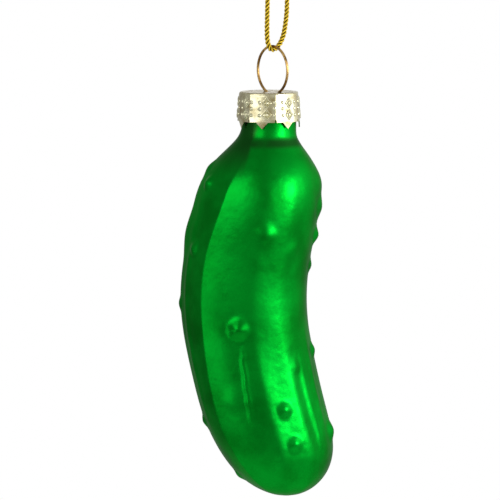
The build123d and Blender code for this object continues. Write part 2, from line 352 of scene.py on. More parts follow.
def stamped_metal(settings):
    """Thin metal, tarnished in its hollows, with a painted reflection, dark and spotted, on its flat top."""
    material, finish = new_finish("stamped_metal")
    place = finish.place()
    relief = finish.node("ShaderNodeAttribute", {"attribute_name": "relief"}, output="Fac")
    mottle = finish.noise(place, scale=420.0, detail=4.0)
    grain = finish.noise(place, scale=3200.0, detail=2.0)
    on_top = finish.between(finish.part(place, "Z"), settings.top - SPOTS_START, settings.top - SPOTS_FULL)
    spots = finish.between(finish.noise(place, scale=1300.0, detail=3.0), 0.4, 0.58)
    hollow = finish.between(mottle + 0.35 * (1.0 - relief), 0.66, 1.15)
    # Painted reflection: the flat top is darkened and spotted, besides the tarnished hollows.
    dull = hollow * (1.0 - on_top) + on_top * (0.3 + 0.7 * spots)
    finish.surface(
        base_color=finish.blend(dull, settings.metal, settings.tarnish),
        metallic=0.9,
        roughness=0.12 + 0.08 * mottle + 0.14 * dull,
        normal=finish.bump(mottle + 0.2 * grain, 0.014 * MM),
    )
    return material


def brassed_wire(settings):
    """Brassed wire, tarnished in patches, with a fine grain."""
    material, finish = new_finish("brassed_wire")
    place = finish.place()
    patch = finish.noise(place, scale=350.0, detail=4.0)
    grain = finish.noise(place, scale=4000.0, detail=2.0)
    finish.surface(
        base_color=finish.blend(finish.between(patch, 0.4, 0.6), settings.wire, settings.dull),
        metallic=1.0,
        roughness=0.18 + 0.16 * patch + 0.06 * grain,
        normal=finish.bump(grain, 0.01 * MM),
    )
    return material


def gold_thread(settings):
    """Metallised thread with slanting filaments, with shade painted dark between the plies."""
    material, finish = new_finish("gold_thread")
    ply = finish.node("ShaderNodeUVMap", {"uv_map": "ply"})
    around = finish.part(ply, "X")
    along = finish.part(ply, "Y")
    # Painted shade: each ply darkens from its outward crest towards the sides where it meets the other plies.
    groove = finish.between(finish.reckon("ABSOLUTE", around - 0.5) * 2.0, 0.32, 0.52)
    filament = finish.reckon("SINE", (along * FILAMENTS_ALONG + around * FILAMENTS_AROUND) * math.tau)
    fleck = finish.noise(finish.place(), scale=2400.0, detail=2.0)
    finish.surface(
        base_color=finish.blend(groove, settings.gold, settings.gap),
        metallic=0.25,
        roughness=0.22 + 0.12 * fleck,
        specular_tint=(1.0, 0.7, 0.12),
        normal=finish.bump(filament + fleck, 0.02 * MM),
    )
    return material


def pale_floor():
    """A pale floor with a faint grain."""
    material, finish = new_finish("pale_floor")
    grain = finish.noise(finish.place(), scale=30.0, detail=3.0)
    finish.surface(base_color=finish.blend(grain, (0.86, 0.86, 0.85), (0.90, 0.90, 0.89)), roughness=0.8)
    return material


# Modelling helpers

def deselect():
    """Leave edit mode and select nothing."""
    if bpy.context.object and bpy.context.object.mode != "OBJECT":
        bpy.ops.object.mode_set(mode="OBJECT")
    bpy.ops.object.select_all(action="DESELECT")


def activate(piece):
    """Select this piece alone and make it the active one."""
    deselect()
    piece.select_set(True)
    bpy.context.view_layer.objects.active = piece


def keep_place():
    """Keep the active piece's place, turn and size in its mesh."""
    bpy.ops.object.transform_apply(location=True, rotation=True, scale=True)


def start_ring(name, columns, radius, height):
    """A new piece of one selected loop of edges, in edit mode."""
    deselect()
    bpy.ops.mesh.primitive_circle_add(
        vertices=columns, radius=radius, fill_type="NOTHING", location=(0.0, 0.0, height)
    )
    piece = bpy.context.object
    piece.name = name
    piece.data.name = name
    keep_place()
    bpy.ops.object.mode_set(mode="EDIT")
    bpy.ops.mesh.select_mode(type="VERT")
    bpy.ops.mesh.select_all(action="SELECT")
    return piece


def draw_loop(move):
    """Extrude the selected loop by a move."""
    bpy.ops.mesh.extrude_region_move(TRANSFORM_OT_translate={"value": move})


def vertex_places(piece):
    """The places of a piece's vertices in edit mode."""
    mesh = bmesh.from_edit_mesh(piece.data)
    return [vertex.co.copy() for vertex in mesh.verts]


def select_only(piece, numbers):
    """Select only the vertices with these numbers."""
    bpy.ops.mesh.select_all(action="DESELECT")
    mesh = bmesh.from_edit_mesh(piece.data)
    mesh.verts.ensure_lookup_table()
    for number in numbers:
        mesh.verts[number].select_set(True)
    mesh.select_flush(True)
    bmesh.update_edit_mesh(piece.data, loop_triangles=False, destructive=False)


def select_where(piece, kind, wanted):
    """Select only the edges or faces for which a test holds."""
    bpy.ops.mesh.select_all(action="DESELECT")
    mesh = bmesh.from_edit_mesh(piece.data)
    for element in getattr(mesh, kind):
        element.select_set(wanted(element))
    bmesh.update_edit_mesh(piece.data)


def last_loop(piece, columns):
    """Numbers of the vertices in the last loop."""
    count = len(bmesh.from_edit_mesh(piece.data).verts)
    return range(count - columns, count)


def apply_modifier(piece, name, kind, **settings):
    """Add a modifier, set it and apply it."""
    bpy.ops.object.mode_set(mode="OBJECT")
    modifier = piece.modifiers.new(name, kind)
    for key, value in settings.items():
        setattr(modifier, key, value)
    bpy.ops.object.modifier_apply(modifier=name)


def face_outwards(piece):
    """Turn every face of the piece outwards."""
    bpy.ops.object.mode_set(mode="EDIT")
    bpy.ops.mesh.select_all(action="SELECT")
    bpy.ops.mesh.normals_make_consistent(inside=False)
    bpy.ops.object.mode_set(mode="OBJECT")


def neck_place(context):
    """The middle of the cap's top, beside the ring's middle."""
    settings = context.scene.ornament_cap
    along_ring = Vector((math.cos(settings.turn), math.sin(settings.turn), 0.0))
    return Vector((0.0, 0.0, settings.top)) - along_ring * settings.ring_shift


def put_in_place(piece, place, turn=0.0):
    """Move and turn a piece, with its place kept in its mesh."""
    activate(piece)
    piece.location = place
    piece.rotation_euler = (0.0, 0.0, turn)
    keep_place()


def finish_piece(piece, material, body, replaced):
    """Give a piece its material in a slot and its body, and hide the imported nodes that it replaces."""
    piece.data.materials.clear()
    piece.data.materials.append(material)
    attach(piece, body)
    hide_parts(*replaced)


# Glass pickle

COLUMNS_PER_FACET = 4
GLASS_LEVELS = 3
GLASS_SMOOTHING = 50.0

# Loops of the cage: shares of the neck, the shoulder and the body, then degrees round the toe.
NECK_LOOPS = (0.3, 0.64, 0.93)
SHOULDER_LOOPS = (0.05, 0.12, 0.18, 0.26, 0.37, 0.5, 0.65, 0.81, 0.97)
BODY_LOOPS = (0.1, 0.2, 0.3, 0.4, 0.5, 0.6, 0.7, 0.8, 0.9)
TOE_LOOPS = (2, 22, 39, 53, 65, 76)

# Ridges: turn from the front towards +X in degrees, then shares of the flatness of the facet after the ridge,
# above and below the waist, shares of the ridge's own sharpness, above and below the waist, and the share of
# the reach by which the ridge lies low below the waist.
RIDGES = (
    (-42, 0.75, 0.65, 1.6, 1.6, 0),
    (5.5, 0.2, 1.5, 0, 0.5, 0),
    (38, 0.3, 0.5, 0, 0.4, 0.03),
    (97, 0.9, 1, 0.6, 1, 0),
    (148, 1, 1, 1, 1, 0),
    (203, 1, 1, 1, 1, 0),
    (270, 0.9, 0.6, 0.8, 0.8, 0),
)

# The waist's start and end, as shares of the body's length.
WAIST = (0.49, 0.69)

# How far the first ridge swings from its turn: share of the body's length, degrees.
FIRST_RIDGE_SWING = (
    (0, 7), (0.08, 16), (0.146, 11), (0.21, 9), (0.31, 1), (0.4, 0),
    (0.52, 1), (0.6, -2), (0.74, -6), (0.85, -4), (1, 8),
)

# The pickle's middle line: share of the body's length, sideways place in millimetres.
SPINE = ((0, 0), (0.2, -3), (0.47, -6.4), (0.74, -2), (0.88, 2), (1, 4.4))

# How the neck swells to the body: share of the body's length, share of the swelling.
SWELLING = (
    (0, 0), (0.024, 0.05), (0.05, 0.235), (0.095, 0.64), (0.13, 0.83), (0.17, 0.95),
    (0.22, 1.01), (0.27, 1.02), (0.36, 1), (0.45, 1), (0.8, 0.985), (1, 0.96),
)

# Slack on a ridge and on a facet in degrees, the least rise of an edge along a ridge, and slack at the tip.
RIDGE_SLACK = 1.0
FACET_SLACK = 1e-6
LEAST_RISE = 0.3 * MM
TIP_SLACK = 0.1 * MM

# Warts: share of the body's length, turn from the front towards +X in degrees, width at the foot and height
# in millimetres.
SIDE_WARTS = (
    (0.106, -90, 6, 0.4), (0.28, -90, 15, 0.6), (0.48, -90, 5, 0.5), (0.795, -90, 5, 0.7),
    (0.945, -80, 5, 0.5), (0.15, 90, 12, 0.6), (0.213, 90, 8, 0.8), (0.293, 90, 6, 1),
    (0.376, 90, 5, 0.6), (0.607, 90, 5, 0.7), (0.822, 88, 7, 0.9),
)
FRONT_WARTS = (
    (0.145, -66, 5, 0.85), (0.32, -63, 5, 0.85), (0.278, 13, 7, 0.52), (0.322, 43, 6.5, 0.3),
    (0.528, -5.5, 6.8, 1.3), (0.632, 45, 5, 0.35),
    (0.726, -26, 7, 0.2), (0.751, 22, 4.9, 0.85), (0.844, 22.5, 5, 0.9),
)

# Fine ribs: turns and shares of the body's length where they start and end, height and half width in
# millimetres. A groove's height is less than nought. Each step of raising leaves out more at both ends.
FINE_RIBS = (
    (-5, 0.58, -12, 0.78, 0.55, 1),
    (48, 0.6, 51, 0.86, -0.4, 3.2),
    (54, 0.62, 57, 0.86, 0.2, 1),
    (72, 0.55, 72, 0.8, 0.2, 1.8),
    (-70, 0.2, -70, 0.8, 0.2, 1.8),
)
RIB_TRIMS = (0.0, 0.12, 0.24)
RIB_POINTS = 160
RIB_SMOOTHING = 2

# How the pull of a wart or a rib fades round it.
SOFT_PULL = {"use_proportional_edit": True, "proportional_edit_falloff": "SMOOTH"}


def eased_step(t):
    """A smooth step from nought to one."""
    t = min(1.0, max(0.0, t))
    return t * t * (3 - 2 * t)


def eased_through(stations, at):
    """A smooth curve through stations of place and value."""
    last = len(stations) - 1

    def slope(k):
        before = stations[max(k - 1, 0)]
        after = stations[min(k + 1, last)]
        return (after[1] - before[1]) / (after[0] - before[0])

    i = max(k for k in range(last) if k == 0 or stations[k][0] <= at)
    place, value = stations[i]
    next_place, next_value = stations[i + 1]
    span = next_place - place
    t = (at - place) / span
    bow = span * (slope(i) * t * (1 - t) ** 2 - slope(i + 1) * t * t * (1 - t))
    return value + (next_value - value) * t * t * (3 - 2 * t) + bow


def angle_between(first, second):
    """The difference of two turns, in degrees."""
    return abs((first - second + 180) % 360 - 180)


class Skin:
    """Sections of the pickle's skin at each drop below the cap's top."""

    def __init__(self, settings):
        self.settings = settings
        self.neck_foot = settings.rim_drop + settings.neck_length
        self.tip = self.neck_foot + settings.body_length
        self.toe_start = self.tip - settings.toe

    def along(self, drop):
        """The share of the body's length at a drop."""
        return min(1.0, max(0.0, (drop - self.neck_foot) / self.settings.body_length))

    def middle(self, drop):
        """Sideways place of the section's middle."""
        return eased_through(SPINE, self.along(drop)) * MM

    def faceting(self, drop):
        """Nought on the round neck, one on the ridged body."""
        return eased_step((drop - self.neck_foot) / self.settings.shoulder)

    def at_waist(self, drop, above, below):
        """One value above the waist and another below it."""
        high, low = WAIST
        return above + (below - above) * eased_step((self.along(drop) - high) / (low - high))

    def half_sizes(self, drop):
        """Half the section's width and depth."""
        sizes = self.settings
        toe = min(1.0, max(0.0, (drop - self.toe_start) / sizes.toe))
        swelling = eased_through(SWELLING, self.along(drop))
        neck = sizes.neck_across / 2
        width = sizes.body_width, sizes.toe_fullness
        depth = sizes.body_depth, sizes.toe_depth_fullness
        return [
            (neck + (across / 2 - neck) * swelling) * (1 - toe**fullness) ** (1 / fullness)
            for across, fullness in (width, depth)
        ]

    def ridges(self, drop):
        """Turns of the ridges at a drop."""
        turns = [ridge[0] for ridge in RIDGES]
        turns[0] += eased_through(FIRST_RIDGE_SWING, self.along(drop))
        return turns

    def facets(self, drop):
        """Start, span and flatness of each facet, and how low its ridges lie."""
        turns = self.ridges(drop)
        sinks = [self.at_waist(drop, 0.0, ridge[5]) for ridge in RIDGES]
        flatnesses = [self.at_waist(drop, *ridge[1:3]) for ridge in RIDGES]
        return [
            (turns[k - 1], (turns[k] - turns[k - 1]) % 360, flatnesses[k - 1], sinks[k - 1], sinks[k])
            for k in range(len(RIDGES))
        ]

    def columns(self, drop):
        """Turns of the cage's columns, one on each ridge and the rest between."""
        return [
            start + span * k / COLUMNS_PER_FACET
            for start, span, *_ in self.facets(drop)
            for k in range(COLUMNS_PER_FACET)
        ]

    def point(self, drop, turn):
        """A point on the skin, which reaches furthest at the ridges."""
        width, depth = self.half_sizes(drop)
        start, span, flatness, first_sink, last_sink = next(
            facet for facet in self.facets(drop) if (turn - facet[0] + FACET_SLACK) % 360 < facet[1]
        )
        across = 2 * ((turn - start) % 360) / span - 1
        flattening = self.settings.facet_flat * flatness * (1 - math.cos(math.radians(span / 2)))
        sink = first_sink + (last_sink - first_sink) * (across + 1) / 2
        reach = 1 - self.faceting(drop) * (flattening * (1 - across * across) + sink)
        angle = math.radians(turn)
        return Vector(
            (self.middle(drop) + width * reach * math.sin(angle), -depth * reach * math.cos(angle), -drop)
        )

    def body_point(self, along, turn):
        """A point on the skin at a share of the body's length."""
        return self.point(self.neck_foot + self.settings.body_length * along, turn)

    def turn_of(self, place):
        """The turn at which a point of a section lies."""
        width, depth = self.half_sizes(-place.z)
        return math.degrees(math.atan2((place.x - self.middle(-place.z)) / width, -place.y / depth))

    def on_ridge(self, place, number):
        """Whether a point lies on the ridge with this number."""
        return angle_between(self.turn_of(place), self.ridges(-place.z)[number]) < RIDGE_SLACK


def loop_drops(skin, settings):
    """Drops of the cage's loops between the rim and the tip."""
    drops = [settings.rim_drop + settings.neck_length * at for at in NECK_LOOPS]
    drops += [skin.neck_foot + settings.shoulder * at for at in SHOULDER_LOOPS]
    body_start = skin.neck_foot + settings.shoulder
    drops += [body_start + (skin.toe_start - body_start) * at for at in BODY_LOOPS]
    drops += [skin.toe_start + settings.toe * math.sin(math.radians(turn)) for turn in TOE_LOOPS]
    return drops


def settle_loop(glass, skin, drop_before, drop):
    """Move the last loop onto the skin, each vertex along its own column."""
    before = skin.columns(drop_before)
    columns = skin.columns(drop)
    places = vertex_places(glass)
    numbers = sorted(last_loop(glass, len(columns)), key=lambda number: skin.turn_of(places[number]))
    order = sorted(range(len(columns)), key=lambda k: (before[k] + 180) % 360)
    misfits = [
        sum(angle_between(skin.turn_of(places[number]), before[order[(i + shift) % len(order)]])
            for i, number in enumerate(numbers))
        for shift in range(len(order))
    ]
    shift = misfits.index(min(misfits))
    for i, number in enumerate(numbers):
        target = skin.point(drop, columns[order[(i + shift) % len(order)]])
        select_only(glass, [number])
        bpy.ops.transform.translate(value=target - places[number])
    select_only(glass, last_loop(glass, len(columns)))


def blow_cage(settings, skin):
    """Draw the coarse cage loop by loop from the rim to the tip."""
    columns = len(RIDGES) * COLUMNS_PER_FACET
    drop = settings.rim_drop
    glass = start_ring("glass_body", columns, settings.neck_across / 2, -drop)
    settle_loop(glass, skin, drop, drop)
    for next_drop in loop_drops(skin, settings):
        width, depth = skin.half_sizes(drop)
        next_width, next_depth = skin.half_sizes(next_drop)
        middle = skin.middle(next_drop)
        draw_loop((middle - skin.middle(drop), 0.0, drop - next_drop))
        bpy.ops.transform.resize(
            value=(next_width / width, next_depth / depth, 1.0), center_override=(middle, 0.0, -next_drop)
        )
        settle_loop(glass, skin, drop, next_drop)
        drop = next_drop
    draw_loop((skin.middle(skin.tip) - skin.middle(drop), 0.0, drop - skin.tip))
    bpy.ops.mesh.merge(type="CENTER")
    return glass


def runs_along(edge, skin, number, upper_half):
    """Whether an edge runs along a ridge, above or below the waist."""
    high, low = sorted((vertex.co for vertex in edge.verts), key=lambda place: -place.z)
    upright = high.z - low.z > LEAST_RISE and -high.z > skin.neck_foot
    in_half = (skin.along(-low.z) < sum(WAIST) / 2) == upper_half
    if not (upright and in_half and skin.on_ridge(high, number)):
        return False
    at_tip = skin.tip + low.z < TIP_SLACK
    return at_tip or skin.on_ridge(low, number)


def crease_ridges(glass, skin, settings):
    """Sharpen the cage's edges along each ridge."""
    for number, (_, _, _, above, below, _) in enumerate(RIDGES):
        for upper_half, sharpness in ((True, above), (False, below)):
            select_where(glass, "edges", lambda edge: runs_along(edge, skin, number, upper_half))
            bpy.ops.transform.edge_crease(value=min(1.0, settings.ridge_crease * sharpness))


def skin_finder(glass):
    """Searches for the vertex nearest to a place and those within a reach."""
    places = vertex_places(glass)
    tree = KDTree(len(places))
    for number, place in enumerate(places):
        tree.insert(place, number)
    tree.balance()
    return (
        lambda place: tree.find(place)[1],
        lambda place, reach: [number for _, number, _ in tree.find_range(place, reach)],
    )


def raise_warts(glass, skin):
    """Pull out the rounded warts, the front's also mirrored on the back."""
    nearest, _ = skin_finder(glass)
    back_warts = [(along, 180 - turn, across, height) for along, turn, across, height in FRONT_WARTS]
    for along, turn, across, height in [*SIDE_WARTS, *FRONT_WARTS, *back_warts]:
        number = nearest(skin.body_point(along, turn))
        select_only(glass, [number])
        outward = bmesh.from_edit_mesh(glass.data).verts[number].normal.copy()
        pull = outward * height * MM
        bpy.ops.transform.translate(value=pull, proportional_size=across / 2 * MM, **SOFT_PULL)


def raise_ribs(glass, skin):
    """Raise the fine ribs and sink the groove, furthest in their middle."""
    nearest, around = skin_finder(glass)
    for first_turn, start, last_turn, end, height, half_width in FINE_RIBS:
        for trim in RIB_TRIMS:
            along = [trim + (1 - 2 * trim) * k / RIB_POINTS for k in range(RIB_POINTS + 1)]
            places = [
                skin.body_point(start + (end - start) * at, first_turn + (last_turn - first_turn) * at)
                for at in along
            ]
            select_only(glass, {nearest(place) for place in places})
            step = height / len(RIB_TRIMS) * MM
            bpy.ops.transform.shrink_fatten(value=step, proportional_size=half_width * MM, **SOFT_PULL)
        select_only(glass, {number for place in places for number in around(place, half_width * MM)})
        bpy.ops.mesh.vertices_smooth(factor=0.5, repeat=RIB_SMOOTHING)


class ORNAMENT_OT_glass(bpy.types.Operator):
    """Model the hollow ribbed glass pickle and lacquer it"""

    bl_idname = "ornament.glass"
    bl_label = "Glass pickle"

    def execute(self, context):
        settings = context.scene.ornament_glass
        skin = Skin(settings)
        glass = blow_cage(settings, skin)
        crease_ridges(glass, skin, settings)
        face_outwards(glass)
        apply_modifier(glass, "rounding", "SUBSURF", levels=GLASS_LEVELS, render_levels=GLASS_LEVELS)
        bpy.ops.object.mode_set(mode="EDIT")
        bpy.ops.mesh.select_mode(type="VERT")
        raise_ribs(glass, skin)
        raise_warts(glass, skin)
        apply_modifier(glass, "wall", "SOLIDIFY", thickness=settings.wall, offset=-1.0)
        put_in_place(glass, neck_place(context))
        bpy.ops.object.shade_smooth_by_angle(angle=math.radians(GLASS_SMOOTHING))
        finish_piece(glass, lacquered_glass(settings), "glass", ["glass_pickle"])
        return {"FINISHED"}


# Stamped cap

CAP_COLUMNS = 504
CAP_MIDDLE = (0.0, 0.0, 0.0)
CAP_SMOOTHING = 40.0
PANELS = 7
EDGE_LOOPS = 6
SKIRT_LOOPS = 46
FOOT_LOOP = 0.1 * MM
PATTERN_REPEATS = 8
PATTERN_TURN = 2.7
DIAMOND_WIDTH = 2.3 * MM
DIAMOND_HEIGHT = 2.6 * MM
DIAMOND_DROPS = (2.4 * MM, 5.3 * MM)
DOT_RADIUS = 0.36 * MM
DOT_TURN = 14.5
DOT_DROPS = (2.2 * MM, 3.8 * MM, 5.4 * MM)
SLOT_LENGTH = 2.05 * MM
SLOT_WIDTH = 1.09 * MM
SLOT_MIDDLE = 2.38 * MM

# Radii of the loops on the cap's flat top, as shares of its own radius.
TOP_LOOPS = (0.1, 0.4, 0.7, 0.9, 1.0)

# Degrees by which a vertex may lie off the column that is looked for.
COLUMN_SLACK = 0.2

# Steps of pressing the pattern: share of the relief, then the reaches between which a diamond's outline lies,
# and those within which its boss and a dot lie.
PRESS_STEPS = (
    (0.35, 0.66, 1.04, 0.44, 1.0),
    (0.4, 0.72, 0.98, 0.34, 0.8),
    (0.25, 0.78, 0.92, 0.2, 0.5),
)

# The slots' cutter: height in thicknesses of the sheet, rounding as a share of the width, and its segments.
CUTTER_SHEETS = 6
SLOT_ROUNDING = 0.49
SLOT_SEGMENTS = 6


def widen(growth):
    """Scale what is selected about the cap's axis."""
    bpy.ops.transform.resize(value=(growth, growth, 1.0), center_override=CAP_MIDDLE)


def grow_loop(rise, growth):
    """Draw the next loop of the cap, raised and widened."""
    draw_loop((0.0, 0.0, rise))
    widen(growth)


def draw_cap(settings):
    """Draw the cap's outer face from its top to the skirt's foot."""
    flat_radius = settings.top_radius - settings.edge
    radius = flat_radius * TOP_LOOPS[0]
    cap = start_ring("cap_shell", CAP_COLUMNS, radius, 0.0)
    for at in TOP_LOOPS[1:]:
        grow_loop(0.0, flat_radius * at / radius)
        radius = flat_radius * at
    drop = 0.0
    for step in range(1, EDGE_LOOPS + 1):
        angle = math.pi / 2 * step / EDGE_LOOPS
        next_radius = flat_radius + settings.edge * math.sin(angle)
        next_drop = settings.edge * (1 - math.cos(angle))
        grow_loop(drop - next_drop, next_radius / radius)
        radius, drop = next_radius, next_drop
        dip_panels(cap, settings)
    rise = (settings.height - settings.edge) / SKIRT_LOOPS
    for step in range(1, SKIRT_LOOPS + 1):
        next_radius = settings.top_radius + settings.flare * (settings.edge + rise * step) / settings.height
        grow_loop(-rise, next_radius / radius)
        radius = next_radius
    select_only(cap, range(CAP_COLUMNS))
    bpy.ops.mesh.edge_face_add()
    return cap


def turn_of(place):
    """The turn of a place about the cap's axis, in degrees."""
    return math.degrees(math.atan2(place.y, place.x))


def from_nearest(turn, count, start=0.0):
    """Degrees from the nearest of so many evenly spaced turns, the first at start."""
    step = 360 / count
    return (turn - start + step / 2) % step - step / 2


def from_panel_middles(cap):
    """Each vertex of the last loop, with its degrees from its panel's middle."""
    places = vertex_places(cap)
    return [
        (number, abs(from_nearest(turn_of(places[number]), PANELS)))
        for number in last_loop(cap, CAP_COLUMNS)
    ]


def select_columns(cap, from_middle, column):
    """Select the vertices so many columns from their panel's middle."""
    wanted = column * 360 / CAP_COLUMNS
    select_only(cap, [number for number, away in from_middle if abs(away - wanted) < COLUMN_SLACK])


def dip_panels(cap, settings):
    """Flatten an edge loop's panels a little, with ridges between them."""
    half = CAP_COLUMNS // PANELS // 2
    from_middle = from_panel_middles(cap)
    for column in range(half):
        depth = 1 - (column / half) ** 2
        select_columns(cap, from_middle, column)
        widen(1 - settings.panel_dip * depth / EDGE_LOOPS / settings.top_radius)
    select_only(cap, last_loop(cap, CAP_COLUMNS))


def cut_tips(cap, settings):
    """Draw the tips out of the skirt's foot."""
    column_width = 2 * math.pi * (settings.top_radius + settings.flare) / CAP_COLUMNS
    half = round(settings.tip_width / 2 / column_width)
    select_only(cap, last_loop(cap, CAP_COLUMNS))
    grow_loop(-FOOT_LOOP, 1.0)
    from_middle = from_panel_middles(cap)
    for column in range(half):
        select_columns(cap, from_middle, column)
        bpy.ops.transform.translate(value=(0.0, 0.0, -settings.tip_drop * (1 - column / half)))


def pattern_reaches(place, settings):
    """Reaches of a place from the nearest diamond and dot, one on the outlines."""
    turn = abs(from_nearest(turn_of(place), PATTERN_REPEATS, PATTERN_TURN))
    across = math.radians(turn) * settings.top_radius
    diamond = across / (DIAMOND_WIDTH / 2) + min(
        abs(-place.z - drop) / (DIAMOND_HEIGHT / 2) for drop in DIAMOND_DROPS
    )
    beside = math.radians(turn - DOT_TURN) * settings.top_radius
    dot = min(math.hypot(beside, -place.z - drop) for drop in DOT_DROPS) / DOT_RADIUS
    return diamond, dot


def press_pattern(cap, settings):
    """Press the pattern out of the skirt in steps, and note its relief."""
    bmesh.from_edit_mesh(cap.data).verts.layers.float.new("relief")
    skirt = [
        (number, *pattern_reaches(place, settings))
        for number, place in enumerate(vertex_places(cap))
        if settings.edge < -place.z < settings.height
    ]
    for part, inner, outer, boss, rim in PRESS_STEPS:
        chosen = [
            number for number, diamond, dot in skirt
            if inner < diamond < outer or diamond < boss or dot < rim
        ]
        select_only(cap, chosen)
        mesh = bmesh.from_edit_mesh(cap.data)
        relief = mesh.verts.layers.float["relief"]
        for number in chosen:
            mesh.verts[number][relief] += part
        widen(1 + settings.relief * part / settings.top_radius)


def cut_slits(cap, settings):
    """Delete the faces of the slits between the panels."""
    foot = settings.top_radius + settings.flare

    def in_slit(face):
        place = face.calc_center_median()
        across = math.radians(from_nearest(turn_of(place), PANELS, 180 / PANELS)) * foot
        low = -place.z > settings.height - settings.slit_height
        return low and abs(across) < settings.slit_width / 2

    bpy.ops.mesh.select_mode(type="FACE")
    select_where(cap, "faces", in_slit)
    bpy.ops.mesh.delete(type="FACE")
    bpy.ops.mesh.select_mode(type="VERT")


def cut_slots(cap, settings):
    """Cut the two slots for the hanger's legs through the cap's top."""
    for side in (-1, 1):
        deselect()
        place = (settings.ring_shift + side * SLOT_MIDDLE, 0.0, 0.0)
        bpy.ops.mesh.primitive_cube_add(size=1.0, location=place)
        cutter = bpy.context.object
        cutter.scale = (SLOT_LENGTH, SLOT_WIDTH, settings.sheet * CUTTER_SHEETS)
        keep_place()
        bpy.ops.object.mode_set(mode="EDIT")
        select_where(
            cutter, "edges", lambda edge: abs(edge.verts[0].co.z - edge.verts[1].co.z) > settings.sheet
        )
        bpy.ops.mesh.bevel(offset=SLOT_WIDTH * SLOT_ROUNDING, segments=SLOT_SEGMENTS)
        activate(cap)
        apply_modifier(cap, "slot", "BOOLEAN", operation="DIFFERENCE", object=cutter, solver="EXACT")
        bpy.data.objects.remove(cutter)


class ORNAMENT_OT_cap(bpy.types.Operator):
    """Model the stamped cap with its pressed pattern, tips, slits and slots"""

    bl_idname = "ornament.cap"
    bl_label = "Stamped cap"

    def execute(self, context):
        settings = context.scene.ornament_cap
        cap = draw_cap(settings)
        press_pattern(cap, settings)
        cut_tips(cap, settings)
        cut_slits(cap, settings)
        face_outwards(cap)
        apply_modifier(cap, "sheet", "SOLIDIFY", thickness=settings.sheet, offset=-1.0)
        cut_slots(cap, settings)
        put_in_place(cap, neck_place(context), settings.turn)
        bpy.ops.object.shade_smooth_by_angle(angle=math.radians(CAP_SMOOTHING))
        finish_piece(cap, stamped_metal(settings), "cap", ["metal_cap"])
        return {"FINISHED"}


# Wire hanger

class ORNAMENT_OT_hanger(bpy.types.Operator):
    """Give the wire hanger its brassed finish"""

    bl_idname = "ornament.hanger"
    bl_label = "Wire hanger"

    def execute(self, context):
        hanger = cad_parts["wire_hanger"]
        hanger.data.materials.clear()
        hanger.data.materials.append(brassed_wire(context.scene.ornament_hanger))
        return {"FINISHED"}


# Cord

# The cord's route: its strands from the ring's wire up to the knot, then its ends in and above the knot, as
# across, along the ring and up from the wire's middle, in millimetres.
LEFT_STRAND = (
    (-0.95, 0, -0.85), (-1.75, 0, 1.6), (-1.75, 0, 5), (-1.6, 0, 12),
    (-1.3, 0, 21), (-0.8, 0, 29), (-0.65, 0, 33),
)
RIGHT_STRAND = (
    (1, 0, -0.85), (2.9, 0, 1.2), (3.9, 0, 4.2), (4.7, 0, 10.5),
    (3.9, 0, 21), (1.9, 0, 29), (0.9, 0, 33),
)
LEFT_END = ((-0.1, 0, 36.5), (0, 0, 38.5), (0, 0, 40.2), (0.7, 0.2, 42.5), (1.7, 0.3, 46))
RIGHT_END = ((-1.3, -0.2, 41.2), (-1.2, -0.2, 43), (-1.9, -0.3, 46))

# The knot's turns: number, points on each, radius, rise for each and height of the first, in millimetres.
KNOT_TURNS = 2.5
POINTS_PER_TURN = 10
WRAP_RADIUS = 1.3
WRAP_RISE = 1.3
KNOT_FOOT = 36.4

SPLINE_ORDER = 3
SPLINE_STEPS = 14
PLIES = 3
PLY_SIDES = 8


def knot_points():
    """The right strand's turns round the left one, in millimetres."""
    points = []
    for k in range(int(KNOT_TURNS * POINTS_PER_TURN) + 1):
        angle = math.tau * k / POINTS_PER_TURN
        rise = KNOT_FOOT + WRAP_RISE * angle / math.tau
        points.append((WRAP_RADIUS * math.cos(angle), WRAP_RADIUS * math.sin(angle), rise))
    return points


def cord_route(settings, turn):
    """The cord's control points from one tail to the other, in metres."""
    route = [*reversed(LEFT_END), *reversed(LEFT_STRAND), *RIGHT_STRAND, *knot_points(), *RIGHT_END]
    along = Vector((math.cos(turn), math.sin(turn), 0.0))
    over = Vector((-math.sin(turn), math.cos(turn), 0.0))
    up = Vector((0.0, 0.0, 1.0))
    base = up * -settings.loop_height
    return [base + (over * across + along * depth + up * rise) * MM for across, depth, rise in route]


def spline_line(points):
    """Points along the smooth curve that has these control points."""
    curve = bpy.data.curves.new("cord_route", "CURVE")
    curve.dimensions = "3D"
    spline = curve.splines.new("NURBS")
    spline.points.add(len(points) - 1)
    for control, place in zip(spline.points, points):
        control.co = (*place, 1.0)
    spline.order_u = SPLINE_ORDER
    spline.use_endpoint_u = True
    spline.resolution_u = SPLINE_STEPS
    route = bpy.data.objects.new("cord_route", curve)
    line_mesh = bpy.data.meshes.new_from_object(route)
    line = [vertex.co.copy() for vertex in line_mesh.vertices]
    bpy.data.objects.remove(route)
    bpy.data.curves.remove(curve)
    bpy.data.meshes.remove(line_mesh)
    return line


def frames_along(line):
    """Each point's distance along a line, and two directions across it."""
    last = len(line) - 1
    ahead = [(line[min(i + 1, last)] - line[max(i - 1, 0)]).normalized() for i in range(len(line))]
    side = ahead[0].orthogonal().normalized()
    distance = 0.0
    frames = []
    for i, forward in enumerate(ahead):
        if i:
            distance += (line[i] - line[i - 1]).length
            side = (side - forward * side.dot(forward)).normalized()
        frames.append((distance, side, forward.cross(side)))
    return frames


def ply_rings(mesh, line, frames, ply, settings):
    """Rings of vertices round one of three touching, twisted plies."""
    ply_radius = settings.across / 2 / (1 + 2 / math.sqrt(3))
    throw = settings.across / 2 - ply_radius
    rings = []
    for place, (distance, side, other) in zip(line, frames):
        twist = math.tau * (distance / settings.pitch + ply / PLIES)
        outward = side * math.cos(twist) + other * math.sin(twist)
        across = other * math.cos(twist) - side * math.sin(twist)
        middle = place + outward * throw
        rings.append([
            mesh.verts.new(middle + (across * math.sin(angle) - outward * math.cos(angle)) * ply_radius)
            for angle in (math.tau * k / PLY_SIDES for k in range(PLY_SIDES))
        ])
    return rings


